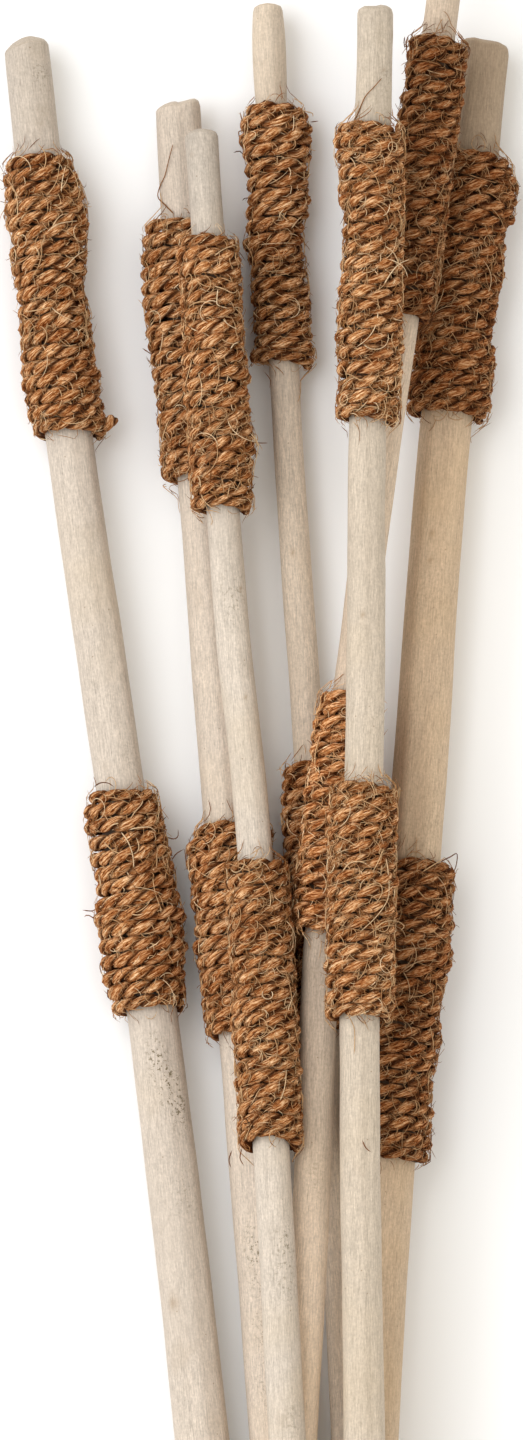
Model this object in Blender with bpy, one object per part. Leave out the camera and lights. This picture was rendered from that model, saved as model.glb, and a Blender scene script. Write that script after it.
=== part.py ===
# A bunch of seven pale wooden sticks, each wound with two lengths of jute rope and tied with twine.
# It lies on its rope: +Y runs from the butts to the tips, +X to the right and +Z up.

import bmesh
import bpy
import numpy as np

MM = 0.001

# Driving dimensions, in millimetres
GAP = 0.3  # left between two pieces that touch
ROPE = 7.0  # thickness of the rope
PITCH = 7.2  # from one turn of the rope to the next
TIP_ROUND = 3.5  # rounding of the sticks' upper ends
BUTT_ROUND = 0.8  # worn edge of their sawn lower ends
TWINE = 3.0  # thickness of the tie's twine
TWINE_TURNS = 4
TIE_AT = -464.0  # the tie's middle, along the bunch
KNOT_HEIGHT = 5.0
KNOT_LENGTH = 4.5  # half of it, along the bunch
KNOT_ANGLE = 0.3  # half of it, round the top stick, in radians

# How finely the pieces are faceted
SIDES = 10  # round a stick, and round the rope on it
STATION = 50.0  # between the rings along a stick
TIE_SIDES = 48

# Each stick's line runs from butt to tip, as along, across, height and radius in millimetres.
# Each wrap runs from its lower end to its upper end, along the bunch.
STICKS = {
    "a": {
        "line": [
            (-500, -1.6, 17.0, 13.2),
            (-464, -2.5, 17.0, 13.2),
            (-226, -26.4, 18.6, 13.2),
            (-19, -50.9, 19.8, 12.3),
            (120, -70.6, 19.5, 11.9),
            (254, -90.2, 19.0, 11.5),
            (393, -105.6, 18.6, 11.1),
            (448, -111.6, 18.6, 10.8),
        ],
        "wraps": [(-22, 87), (256, 391)],
    },
    "b": {
        "line": [
            (-498, 25.9, 17.5, 13.8),
            (-464, 24.9, 17.6, 13.8),
            (-385, 20.4, 15.2, 13.8),
            (-303, 15.7, 14.8, 13.8),
            (-226, 9.8, 16.0, 13.7),
            (-39, -4.6, 20.8, 13.4),
            (62, -12.5, 20.5, 13.0),
            (225, -25.4, 19.5, 12.1),
            (360, -35.0, 18.6, 11.2),
            (418, -38.4, 18.3, 10.7),
        ],
        "wraps": [(-32, 72), (235, 362)],
    },
    "c": {
        "line": [
            (-496, 27.9, 50.9, 9.2),
            (-464, 27.3, 51.2, 9.2),
            (-303, 18.5, 57.4, 9.1),
            (-226, 14.4, 58.4, 9.1),
            (-92, 7.2, 58.0, 8.8),
            (62, -1.4, 56.0, 8.5),
            (177, -13.2, 54.4, 8.3),
            (220, -16.3, 53.9, 8.2),
            (345, -23.0, 52.6, 8.0),
            (403, -27.1, 52.2, 7.9),
        ],
        "wraps": [(-85, 54), (220, 352)],
    },
    "d": {
        "line": [
            (-499, 50.6, 11.3, 7.7),
            (-464, 50.0, 11.5, 7.7),
            (-226, 43.2, 10.4, 7.7),
            (-92, 36.5, 13.2, 7.6),
            (-15, 32.6, 15.1, 7.6),
            (119, 24.0, 15.0, 7.5),
            (273, 13.7, 14.8, 7.3),
            (422, 6.7, 14.7, 7.2),
            (464, 4.8, 14.7, 7.2),
        ],
        "wraps": [(-31, 99), (290, 417)],
    },
    "e": {
        "line": [
            (-499, 56.0, 58.2, 10.0),
            (-464, 55.4, 58.5, 10.0),
            (-226, 51.4, 67.6, 10.0),
            (-25, 49.0, 75.4, 9.7),
            (134, 51.8, 81.5, 9.4),
            (254, 52.6, 86.0, 9.0),
            (461, 56.6, 93.8, 8.6),
        ],
        "wraps": [(-25, 91), (264, 408)],
    },
    "f": {
        "line": [
            (-497, 10.4, 36.2, 9.1),
            (-464, 10.9, 36.2, 9.1),
            (-385, 12.6, 37.8, 9.1),
            (-303, 15.7, 38.9, 9.1),
            (-226, 19.9, 40.6, 9.1),
            (-92, 26.9, 43.9, 9.0),
            (14, 31.2, 46.6, 8.9),
            (129, 44.6, 49.2, 8.8),
            (218, 55.7, 50.7, 8.7),
            (336, 72.5, 52.7, 8.5),
            (500, 93.6, 55.5, 8.0),
        ],
        "wraps": [(16, 135), (312, 447)],
    },
    "g": {
        "line": [
            (-500, 46.2, 36.6, 13.4),
            (-464, 45.8, 36.3, 13.4),
            (-300, 50.8, 32.4, 13.4),
            (-226, 54.7, 30.2, 13.4),
            (-92, 62.9, 26.8, 13.3),
            (-31, 68.0, 25.3, 13.3),
            (62, 75.8, 23.4, 13.3),
            (254, 90.0, 20.1, 12.5),
            (393, 104.6, 19.5, 12.0),
            (447, 110.2, 19.4, 11.8),
        ],
        "wraps": [(-92, 54), (266, 393)],
    },
}

# Round a stick: one of its sides faces straight down
ANGLES = np.radians(-90 + 180 / SIDES + 360 / SIDES * np.arange(SIDES))

# Colour, roughness and metallic value of each material
WOOD = ((0.80, 0.70, 0.56), 0.75, 0.0)
SHADED_WOOD = ((0.72, 0.59, 0.43), 0.75, 0.0)
JUTE_ROPE = ((0.42, 0.22, 0.09), 0.95, 0.0)
JUTE_TWINE = ((0.52, 0.33, 0.16), 0.95, 0.0)
SHADED_STICKS = "dfg"


def clear_scene():
    for item in list(bpy.data.objects):
        bpy.data.objects.remove(item, do_unlink=True)


def make_material(name, look):
    colour, roughness, metallic = look
    material = bpy.data.materials.new(name)
    material.use_nodes = True
    shader = material.node_tree.nodes["Principled BSDF"]
    shader.inputs["Base Color"].default_value = (*colour, 1.0)
    shader.inputs["Roughness"].default_value = roughness
    shader.inputs["Metallic"].default_value = metallic
    return material


def add_solid(name, points, faces, material):
    """A named object from points in millimetres and faces, with its faces turned out."""
    mesh = bpy.data.meshes.new(name)
    mesh.from_pydata((points * MM).tolist(), [], faces)
    work = bmesh.new()
    work.from_mesh(mesh)
    bmesh.ops.recalc_face_normals(work, faces=work.faces)
    work.to_mesh(mesh)
    work.free()
    mesh.materials.append(material)
    mesh.shade_smooth()
    mesh.set_sharp_from_angle(angle=np.radians(40))
    solid = bpy.data.objects.new(name, mesh)
    bpy.context.scene.collection.objects.link(solid)


def smooth(rows, along):
    """A smooth curve through the rows, read at these places. Each span is a cubic between two slopes."""
    rows = np.array(rows, float)
    place, value = rows[:, 0], rows[:, 1:]
    slope = np.gradient(value, place, axis=0)
    span = np.clip(np.searchsorted(place, along) - 1, 0, len(place) - 2)
    width = (place[span + 1] - place[span])[:, None]
    t = ((along - place[span]) / width[:, 0])[:, None]
    return (
        (2 * t**3 - 3 * t**2 + 1) * value[span]
        + (t**3 - 2 * t**2 + t) * width * slope[span]
        + (3 * t**2 - 2 * t**3) * value[span + 1]
        + (t**3 - t**2) * width * slope[span + 1]
    )


def stations(stick):
    """Where a stick's rings lie: at its two ends, and at whole stations well clear of them."""
    low, high = stick["line"][0][0], stick["line"][-1][0]
    whole = STATION * np.arange(np.ceil(low / STATION), np.ceil(high / STATION))
    whole = whole[(whole > low + STATION / 5) & (whole < high - STATION / 5)]
    return np.concatenate([[low], whole, [high]])


def read_line(stick, along):
    """Across, height and radius of the stick at these places, straight between its stations."""
    rings = stations(stick)
    values = smooth(stick["line"], rings)
    return np.column_stack([np.interp(along, rings, column) for column in values.T])


def place_round(stick, along, angles, proud):
    """Points at these places and angles round the stick, standing proud of its surface."""
    here = read_line(stick, along)
    ahead = read_line(stick, along + 1) - read_line(stick, along - 1)
    forward = np.column_stack([ahead[:, 0], np.full(len(along), 2.0), ahead[:, 1]])
    forward /= np.linalg.norm(forward, axis=1)[:, None]
    side = np.cross(forward, [0, 0, 1])
    side /= np.linalg.norm(side, axis=1)[:, None]
    up = np.cross(side, forward)
    centre = np.column_stack([here[:, 0], along, here[:, 1]])
    out = np.cos(angles)[:, None] * side + np.sin(angles)[:, None] * up
    return centre + out * (here[:, 2] + proud)[:, None]


def join_rings(first, second, sides):
    """Faces between two rings, each named by its first point."""
    here = np.arange(sides)
    after = (here + 1) % sides
    return np.column_stack([first + here, first + after, second + after, second + here]).tolist()


def join_rows(first, second, length):
    """Faces between two open rows, each named by its first point."""
    here = np.arange(length)
    return np.column_stack([first + here, first + here + 1, second + here + 1, second + here]).tolist()


def add_stick(name, stick, material):
    """A pole of rings, with both its cut ends rounded over a quarter turn."""
    rings = stations(stick)
    turn = np.radians([0, 45, 90])
    back = 1 - np.cos(turn)
    inset = 1 - np.sin(turn)
    along = np.concatenate(
        [rings[0] + BUTT_ROUND * back, rings[1:-1], rings[-1] - TIP_ROUND * back[::-1]]
    )
    proud = np.concatenate(
        [-BUTT_ROUND * inset, np.zeros(len(rings) - 2), -TIP_ROUND * inset[::-1]]
    )
    count = len(along)
    points = place_round(
        stick, np.repeat(along, SIDES), np.tile(ANGLES, count), np.repeat(proud, SIDES)
    )
    last = (count - 1) * SIDES
    faces = [list(range(SIDES)), list(range(last, last + SIDES))]
    for row in range(count - 1):
        faces += join_rings(row * SIDES, (row + 1) * SIDES, SIDES)
    add_solid(name, points, faces, material)


def add_wrap(name, stick, span, material):
    """Rope wound round a stick, as one helical ridge over a bore that clears the stick.

    The ridge is a row of crests between two passes of one row of valleys, a full turn apart.
    Point k of each row lies at side k of the stick, and the cut ends of the rope close the ridge.
    """
    low, high = span
    steps = round((high - low - PITCH) / PITCH * SIDES)
    end = steps + SIDES

    # Going up the stick, the rope crosses from right to left where it faces up
    def wind(index, offset, proud):
        return place_round(
            stick,
            low + index * PITCH / SIDES + offset,
            ANGLES[index % SIDES],
            np.full(len(index), proud),
        )

    rings = stations(stick)
    rings = rings[(rings > low + 1.2 * PITCH) & (rings < high - 1.2 * PITCH)]
    ring_sides = np.tile(ANGLES, len(rings))
    blocks = [
        wind(np.arange(end + 1), 0, GAP + ROPE / 2),
        wind(np.arange(steps + 1), PITCH / 2, GAP + ROPE),
        wind(np.arange(SIDES + 1), 0, GAP),
        wind(np.arange(steps, end + 1), 0, GAP),
        place_round(stick, np.repeat(rings, SIDES), ring_sides, np.full(len(ring_sides), GAP)),
    ]
    starts = np.cumsum([0] + [len(block) for block in blocks])
    valley, crest, low_bore, high_bore, bore = (int(start) for start in starts[:-1])
    points = np.concatenate(blocks)

    # A wrap that the bunch lies on is pressed flat along its lowest side
    outside = points[:low_bore]
    if outside[:, 2].min() < TIP_ROUND / 2:
        index = np.concatenate([np.arange(end + 1), np.arange(steps + 1)])
        outside[np.sin(ANGLES[index % SIDES]) < -0.9, 2] = 0

    faces = join_rows(valley, crest, steps) + join_rows(crest, valley + SIDES, steps)
    faces += join_rows(low_bore, valley, SIDES) + join_rows(valley + steps, high_bore, SIDES)
    faces.append([low_bore, valley, crest, valley + SIDES, low_bore + SIDES])
    faces.append([high_bore, valley + steps, crest + steps, valley + end, high_bore + SIDES])
    for row in range(len(rings) - 1):
        faces += join_rings(bore + row * SIDES, bore + (row + 1) * SIDES, SIDES)

    # The bore's end rows run on for a whole turn, so one face at each end has a fifth corner
    last = bore + (len(rings) - 1) * SIDES
    for k in range(SIDES):
        near = [bore + k, bore + (k + 1) % SIDES]
        far = [last + (steps + k) % SIDES, last + (steps + k + 1) % SIDES]
        extra = [low_bore + SIDES] if k == 0 else []
        faces.append([low_bore + k, low_bore + k + 1, near[1], near[0]] + extra)
        extra = [high_bore] if k == SIDES - 1 else []
        faces.append([high_bore + k, far[0], far[1]] + extra + [high_bore + k + 1])
    add_solid(name, points, faces, material)


def add_tie(name, material):
    """Turns of twine pulled taut round all the sticks, with a knot raised on the top one.

    In each direction the twine's outline goes through the stick that reaches furthest that way.
    """
    turn = np.arange(2 * TWINE_TURNS + 1)
    along = TIE_AT + (turn - TWINE_TURNS) * TWINE / 2
    proud = np.where(turn % 2 == 1, TWINE, 0.55 * TWINE)
    along = np.append(along, along[[-1, 0]])
    proud = np.append(proud, [0, 0])
    direction = np.radians(360 / TIE_SIDES * np.arange(TIE_SIDES))
    out = np.column_stack([np.cos(direction), np.sin(direction)])
    knot_round = np.exp(-(((direction - np.pi / 2) / KNOT_ANGLE) ** 2))
    rows = []
    for place, height in zip(along, proud):
        sections = np.vstack([read_line(stick, np.array([place])) for stick in STICKS.values()])
        reach = sections[:, :2] @ out.T + sections[:, 2:]
        furthest = sections[reach.argmax(axis=0)]
        knot = KNOT_HEIGHT * knot_round * np.exp(-(((place - TIE_AT) / KNOT_LENGTH) ** 2))
        thick = GAP + height + (knot if height else 0)
        line = furthest[:, :2] + out * (furthest[:, 2] + thick)[:, None]
        rows.append(np.insert(line, 1, place, axis=1))
    faces = []
    for row in range(len(rows)):
        faces += join_rings(row * TIE_SIDES, (row + 1) % len(rows) * TIE_SIDES, TIE_SIDES)
    add_solid(name, np.concatenate(rows), faces, material)


def main():
    clear_scene()
    wood = make_material("wood", WOOD)
    shaded_wood = make_material("shaded_wood", SHADED_WOOD)
    rope = make_material("jute_rope", JUTE_ROPE)
    twine = make_material("jute_twine", JUTE_TWINE)
    for letter, stick in STICKS.items():
        add_stick(f"stick_{letter}", stick, shaded_wood if letter in SHADED_STICKS else wood)
        lower, upper = stick["wraps"]
        add_wrap(f"lower_wrap_{letter}", stick, lower, rope)
        add_wrap(f"upper_wrap_{letter}", stick, upper, rope)
    add_tie("twine_tie", twine)


main()
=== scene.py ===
import bpy
import numpy as np
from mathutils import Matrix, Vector


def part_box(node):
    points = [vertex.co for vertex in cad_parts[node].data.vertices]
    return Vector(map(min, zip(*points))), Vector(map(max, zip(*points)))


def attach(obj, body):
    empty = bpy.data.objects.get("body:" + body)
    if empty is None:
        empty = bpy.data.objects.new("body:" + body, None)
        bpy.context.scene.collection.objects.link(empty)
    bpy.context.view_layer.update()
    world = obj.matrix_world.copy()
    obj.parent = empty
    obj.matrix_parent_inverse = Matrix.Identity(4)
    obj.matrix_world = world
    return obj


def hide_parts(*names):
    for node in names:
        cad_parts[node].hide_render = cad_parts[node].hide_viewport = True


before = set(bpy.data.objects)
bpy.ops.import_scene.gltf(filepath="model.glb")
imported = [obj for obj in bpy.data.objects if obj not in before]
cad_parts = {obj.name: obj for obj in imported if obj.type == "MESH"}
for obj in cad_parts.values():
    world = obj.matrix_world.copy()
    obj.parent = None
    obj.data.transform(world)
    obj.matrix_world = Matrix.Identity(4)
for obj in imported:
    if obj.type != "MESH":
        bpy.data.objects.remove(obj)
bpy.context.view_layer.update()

mm = 0.001  # lengths below are in millimetres, and meshes and nodes get them in metres
letters = "abcdefg"
fullTurn = 2 * np.pi

photo = {
    "wide": 523,
    "high": 1440,
    "scale": 0.48,  # millimetres of the bunch for each pixel
    "middle": (2.1, 119.5),  # what the picture's centre shows, across and along
    "away": 10.0,  # metres from the camera to the bunch
    "level": 40.0,  # height in the bunch where the scale holds
}

print("frame loaded with", len(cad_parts), "nodes")


# Arrays and meshes

def unit(vectors):
    # each vector divided by its own length
    return vectors / np.linalg.norm(vectors, axis=-1, keepdims=True)


def evenTurns(number):
    # angles an equal share of a turn apart
    return fullTurn / number * np.arange(number)


def spanOf(node):
    # where a CAD node's box begins and ends along Y
    return tuple(corner.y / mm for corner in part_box(node))


def lengthOf(line):
    return np.linalg.norm(np.diff(line, axis=0), axis=1).sum()


def travelAlong(line):
    # distance along a line of points, at each of them
    return np.concatenate([[0], np.cumsum(np.linalg.norm(np.diff(line, axis=0), axis=1))])


def wander(places, spacing, rng):
    # smooth random curve between -1 and 1: one random value each spacing, eased from one to the next
    steps = (places - places.min()) / spacing
    values = rng.uniform(-1, 1, int(steps.max()) + 2)
    first = steps.astype(int)
    ease = steps - first
    ease = ease * ease * (3 - 2 * ease)
    return values[first] * (1 - ease) + values[first + 1] * ease


def addObject(name, data):
    made = bpy.data.objects.new(name, data)
    bpy.context.scene.collection.objects.link(made)
    return made


def addPiece(name, points, faces, material, attributes, sharpDegrees=None):
    # a mesh from whole arrays: points, faces as arrays with three or four corners in each row, and
    # attributes as (name, a vector for each point)
    corners = np.concatenate([part.ravel() for part in faces]).astype(np.int32)
    sizes = np.concatenate([np.full(len(part), part.shape[1]) for part in faces])
    mesh = bpy.data.meshes.new(name)
    mesh.vertices.add(len(points))
    mesh.vertices.foreach_set("co", (points * mm).astype(np.float32).ravel())
    mesh.loops.add(len(corners))
    mesh.loops.foreach_set("vertex_index", corners)
    mesh.polygons.add(len(sizes))
    mesh.polygons.foreach_set("loop_start", (np.cumsum(sizes) - sizes).astype(np.int32))
    mesh.update(calc_edges=True)
    for label, values in attributes:
        made = mesh.attributes.new(label, "FLOAT_VECTOR", "POINT")
        made.data.foreach_set("vector", values.astype(np.float32).ravel())
    mesh.shade_smooth()
    if sharpDegrees:
        mesh.set_sharp_from_angle(angle=np.radians(sharpDegrees))
    mesh.materials.append(material)
    piece = addObject(name, mesh)
    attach(piece, "root")
    return piece


def frameAlong(path, up):
    # two directions across each path (tubes, rows, 3): lift, up's part square to it, and side, its right
    ahead = unit(np.gradient(path, axis=1))
    side = unit(np.cross(ahead, up))
    return np.cross(side, ahead), side


def ringsAlong(path, lift, side, tall, wide, sides):
    # an ellipse round each point of the paths: path + tall cos(turn) lift + wide sin(turn) side
    turn = evenTurns(sides)
    high = (tall[..., None] * np.cos(turn))[..., None] * lift[:, :, None]
    across = (wide[..., None] * np.sin(turn))[..., None] * side[:, :, None]
    return path[:, :, None] + high + across


def closeTubes(ring, first=None, last=None):
    # points and faces of tubes from rings (tubes, rows, sides, 3), closed by fans to a first and last point,
    # which are the middles of the end rings where none are given
    tubes, rows, sides = ring.shape[:3]
    first = ring[:, 0].mean(1) if first is None else first
    last = ring[:, -1].mean(1) if last is None else last
    here = np.arange(sides)
    after = (here + 1) % sides
    tube = np.arange(tubes)[:, None, None] * rows * sides
    row = np.arange(rows - 1)[None, :, None] * sides
    quads = [tube + row + here, tube + row + after, tube + row + sides + after, tube + row + sides + here]
    low = tube[:, 0]
    high = low + (rows - 1) * sides
    tip = np.broadcast_to(tubes * rows * sides + np.arange(tubes)[:, None], (tubes, sides))
    fans = [
        np.stack([tip, low + after, low + here], -1).reshape(-1, 3),
        np.stack([tip + tubes, high + here, high + after], -1).reshape(-1, 3),
    ]
    return np.concatenate([ring.reshape(-1, 3), first, last]), [np.stack(quads, -1).reshape(-1, 4)] + fans


def withEnds(grid):
    # values given for each point of the rings, then those of the end points, in the order of closeTubes
    return np.concatenate([grid.reshape(-1, *grid.shape[3:]), grid[:, 0, 0], grid[:, -1, 0]])


def joinParts(parts):
    # several sets of points, faces and values as one
    points, faces, values, total = [], [], [], 0
    for some, sets, value in parts:
        points.append(some)
        faces += [part + total for part in sets]
        values.append(value)
        total += len(some)
    return np.concatenate(points), faces, np.concatenate(values)


def fromPhoto(place, height):
    # millimetres across and along of what shows at a place in the picture and lies at this height
    near = 1 - (height - photo["level"]) * mm / photo["away"]
    across = (place[:, 0] - photo["wide"] / 2) * photo["scale"] * near + photo["middle"][0]
    along = (photo["high"] / 2 - place[:, 1]) * photo["scale"] * near + photo["middle"][1]
    return across, along


# Lines of the sticks, read from the frame

def readStick(letter):
    # the CAD stick's points fall into rings, more than 5 mm apart along Y. Each gives a centre and a radius
    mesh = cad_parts["stick_" + letter].data
    points = np.empty(3 * len(mesh.vertices), np.float32)
    mesh.vertices.foreach_get("co", points)
    points = points.reshape(-1, 3).astype(float) / mm
    points = points[np.argsort(points[:, 1])]
    rings = np.split(points, np.flatnonzero(np.diff(points[:, 1]) > 5) + 1)
    centre = np.array([(ring.min(0) + ring.max(0)) / 2 for ring in rings])
    ahead = unit(np.gradient(centre, axis=0))
    radius = np.array(
        [np.linalg.norm(np.cross(ring - c, f), axis=1).max() for ring, c, f in zip(rings, centre, ahead)]
    )
    for end, far in ((0, np.min), (-1, np.max)):
        centre[end] += ahead[end] * far((rings[end] - centre[end]) @ ahead[end])
    return {"along": centre[:, 1], "rows": np.column_stack([centre[:, 0], centre[:, 2], radius])}


def lineAt(stick, along):
    # across, height and radius at these places along Y: a cubic between the stations, with even slopes
    place, value = stick["along"], stick["rows"]
    slope = np.gradient(value, place, axis=0)
    span = np.clip(np.searchsorted(place, along) - 1, 0, len(place) - 2)
    width = (place[span + 1] - place[span])[..., None]
    t = (along - place[span])[..., None] / width
    return (
        (2 * t**3 - 3 * t**2 + 1) * value[span]
        + (t**3 - 2 * t**2 + t) * width * slope[span]
        + (3 * t**2 - 2 * t**3) * value[span + 1]
        + (t**3 - t**2) * width * slope[span + 1]
    )


def around(stick, along, angle, proud):
    # points on a tube of the stick's radius plus proud: centre + (radius + proud) (cos(angle) side +
    # sin(angle) up), so 0 is the right side and a quarter turn the top
    here = lineAt(stick, along)
    ahead = lineAt(stick, along + 1) - lineAt(stick, along - 1)
    forward = unit(np.stack([ahead[..., 0], np.full(along.shape, 2.0), ahead[..., 1]], -1))
    side = unit(np.cross(forward, [0.0, 0.0, 1.0]))
    up = np.cross(side, forward)
    out = np.cos(angle)[..., None] * side + np.sin(angle)[..., None] * up
    centre = np.stack([here[..., 0], along, here[..., 1]], -1)
    return centre + out * (here[..., 2] + proud)[..., None], out, forward


sticks = {letter: readStick(letter) for letter in letters}
print("sticks read:", {k: np.round(v["rows"][:, 2].max(), 1) for k, v in sticks.items()})


# Shader helpers

def fill(tree, sockets, values):
    # each socket set to a value or joined to another socket
    for key, value in dict(values).items():
        if isinstance(value, bpy.types.NodeSocket):
            tree.links.new(value, sockets[key])
        else:
            sockets[key].default_value = value


def addNode(tree, kind, inputs=(), **settings):
    made = tree.nodes.new(kind)
    for key, value in settings.items():
        setattr(made, key, value)
    fill(tree, made.inputs, inputs)
    return made


def addRamp(tree, factor, stops):
    # colours by position along a ramp
    made = addNode(tree, "ShaderNodeValToRGB", {"Fac": factor})
    elements = made.color_ramp.elements
    while len(elements) < len(stops):
        elements.new(0.5)
    for element, (position, colour) in zip(elements, stops):
        element.position = position
        element.color = (*colour, 1)
    return made.outputs["Color"]


def mixColours(tree, factor, first, second, blend="MIX"):
    # the node's sockets 6 and 7 are its two colours, and 2 is the colour it gives
    pair = [part if isinstance(part, bpy.types.NodeSocket) else (*part, 1) for part in (first, second)]
    inputs = {0: factor, 6: pair[0], 7: pair[1]}
    return addNode(tree, "ShaderNodeMix", inputs, data_type="RGBA", blend_type=blend).outputs[2]


def mapRange(tree, value, low, high, newLow=0.0, newHigh=1.0):
    limits = {"Value": value, "From Min": low, "From Max": high, "To Min": newLow, "To Max": newHigh}
    return addNode(tree, "ShaderNodeMapRange", limits).outputs["Result"]


def mathOf(tree, operation, *values):
    return addNode(tree, "ShaderNodeMath", dict(enumerate(values)), operation=operation).outputs[0]


def multiply(tree, first, second):
    return mathOf(tree, "MULTIPLY", first, second)


def scaleColour(tree, colour, factor):
    return addNode(tree, "ShaderNodeVectorMath", {0: colour, "Scale": factor}, operation="SCALE").outputs[0]


def noiseOf(tree, vector, scale, detail=3.0, roughness=0.6):
    inputs = {"Vector": vector, "Scale": scale, "Detail": detail, "Roughness": roughness}
    return addNode(tree, "ShaderNodeTexNoise", inputs).outputs["Fac"]


def attributeOf(tree, name):
    return addNode(tree, "ShaderNodeAttribute", attribute_name=name).outputs["Vector"]


def placeOf(tree):
    return addNode(tree, "ShaderNodeTexCoord").outputs["Object"]


def partsOf(tree, name):
    # the three parts of a vector attribute, as X, Y and Z
    return addNode(tree, "ShaderNodeSeparateXYZ", {"Vector": attributeOf(tree, name)}).outputs


def startGroup(name, inputs, outputs):
    # an empty node group with these named sockets
    group = bpy.data.node_groups.new(name, "ShaderNodeTree")
    for label, kind in inputs:
        group.interface.new_socket(label, in_out="INPUT", socket_type="NodeSocket" + kind)
    for label, kind in outputs:
        group.interface.new_socket(label, in_out="OUTPUT", socket_type="NodeSocket" + kind)
    return group, group.nodes.new("NodeGroupInput").outputs, group.nodes.new("NodeGroupOutput").inputs


def useGroup(tree, group, inputs):
    return addNode(tree, "ShaderNodeGroup", inputs, node_tree=group).outputs


def startMaterial(name):
    material = bpy.data.materials.new(name)
    material.use_nodes = True
    return material, material.node_tree, material.node_tree.nodes["Principled BSDF"].inputs


def bumpOf(tree, height, strength, distance):
    inputs = {"Strength": strength, "Distance": distance * mm, "Height": height}
    return addNode(tree, "ShaderNodeBump", inputs).outputs["Normal"]


def makeFibreGroup():
    # fine strands of fibre drawn out along the vector's first axis: two sizes of noise laid together
    group, given, out = startGroup(
        "fibreStreaks",
        [("Vector", "Vector"), ("Scale", "Float")], [("Streak", "Float"), ("Height", "Float")],
    )
    coarse = noiseOf(group, given["Vector"], given["Scale"], 3.0, 0.65)
    fine = noiseOf(group, given["Vector"], multiply(group, given["Scale"], 2.9), 2.0, 0.6)
    both = addNode(group, "ShaderNodeMix", {0: 0.42, 2: coarse, 3: fine}).outputs[0]
    fill(group, out, {"Streak": mapRange(group, both, 0.38, 0.62), "Height": both})
    return group


def makeGrimeGroup():
    # patches where a soft noise passes a limit
    group, given, out = startGroup(
        "grime", [("Vector", "Vector"), ("Scale", "Float"), ("Limit", "Float")], [("Mask", "Float")]
    )
    patch = noiseOf(group, given["Vector"], given["Scale"], 4.0, 0.7)
    fill(group, out, {"Mask": mapRange(group, mathOf(group, "SUBTRACT", patch, given["Limit"]), 0.0, 0.12)})
    return group


def makeShadeRedderGroup():
    # painted shade: rope painted darker than the rest is made redder too, as shade within the bunch looks
    group, given, out = startGroup("shadeRedder", [("Color", "Color"), ("Shade", "Float")], [("Color", "Color")])
    darker = mapRange(group, given["Shade"], 1.0, 0.65)
    fill(group, out, {"Color": mixColours(group, darker, given["Color"], (1.06, 0.93, 0.84), "MULTIPLY")})
    return group


fibreGroup = makeFibreGroup()
grimeGroup = makeGrimeGroup()
shadeRedderGroup = makeShadeRedderGroup()


# Wood

def makeWoodGroup():
    # grain drawn out along the vector's third axis: broad soft bands, fine streaks, long lines and pores.
    # Shade is a factor round 1 for the wood's colour, Height its relief
    group, given, out = startGroup(
        "woodGrain", [("Vector", "Vector")], [("Shade", "Float"), ("Height", "Float")]
    )
    band = mapRange(group, noiseOf(group, given["Vector"], 0.16, 3.0, 0.55), 0.3, 0.7, 0.95, 1.04)
    fine = noiseOf(group, given["Vector"], 1.6, 3.0, 0.7)
    streak = mapRange(group, fine, 0.32, 0.68, 0.79, 1.16)
    pores = noiseOf(group, given["Vector"], 4.2, 1.0, 0.5)
    stretch = {0: given["Vector"], 1: (1, 1, 0.3)}
    drawn = addNode(group, "ShaderNodeVectorMath", stretch, operation="MULTIPLY").outputs[0]
    line = mapRange(group, noiseOf(group, drawn, 2.3, 2.0, 0.6), 0.58, 0.68, 1.0, 0.8)
    pore = multiply(group, mapRange(group, pores, 0.58, 0.72, 1.0, 0.78), line)
    both = addNode(group, "ShaderNodeMix", {0: 0.35, 2: fine, 3: pores}).outputs[0]
    fill(group, out, {"Shade": multiply(group, multiply(group, band, streak), pore), "Height": both})
    return group


def makeDotGroup():
    # round pinholes near the feature points of a cell pattern
    group, given, out = startGroup(
        "pinholes", [("Vector", "Vector"), ("Scale", "Float"), ("Size", "Float")], [("Mask", "Float")]
    )
    cells = addNode(group, "ShaderNodeTexVoronoi", {"Vector": given["Vector"], "Scale": given["Scale"]})
    inside = mathOf(group, "DIVIDE", given["Size"], cells.outputs["Distance"])
    fill(group, out, {"Mask": mapRange(group, inside, 0.8, 1.6)})
    return group


grainGroup = makeWoodGroup()
dotGroup = makeDotGroup()


woodTint = {
    "yellow": (0.97, 0.9, 0.74),  # yellow and grey patches, as factors of the stick's own tone
    "grey": (0.88, 0.87, 0.86),
    "smudge": (0.33, 0.25, 0.17),
    "stain": (0.15, 0.12, 0.065),
    "pinhole": (0.22, 0.15, 0.09),
    "knot": (0.28, 0.19, 0.11),
    "shadeUnderRope": (0.10, 0.05, 0.025),  # painted shade on the stick under the rope
    "cut": (0.45, 0.34, 0.22),
    "ring": (0.24, 0.16, 0.09),
}


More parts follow.
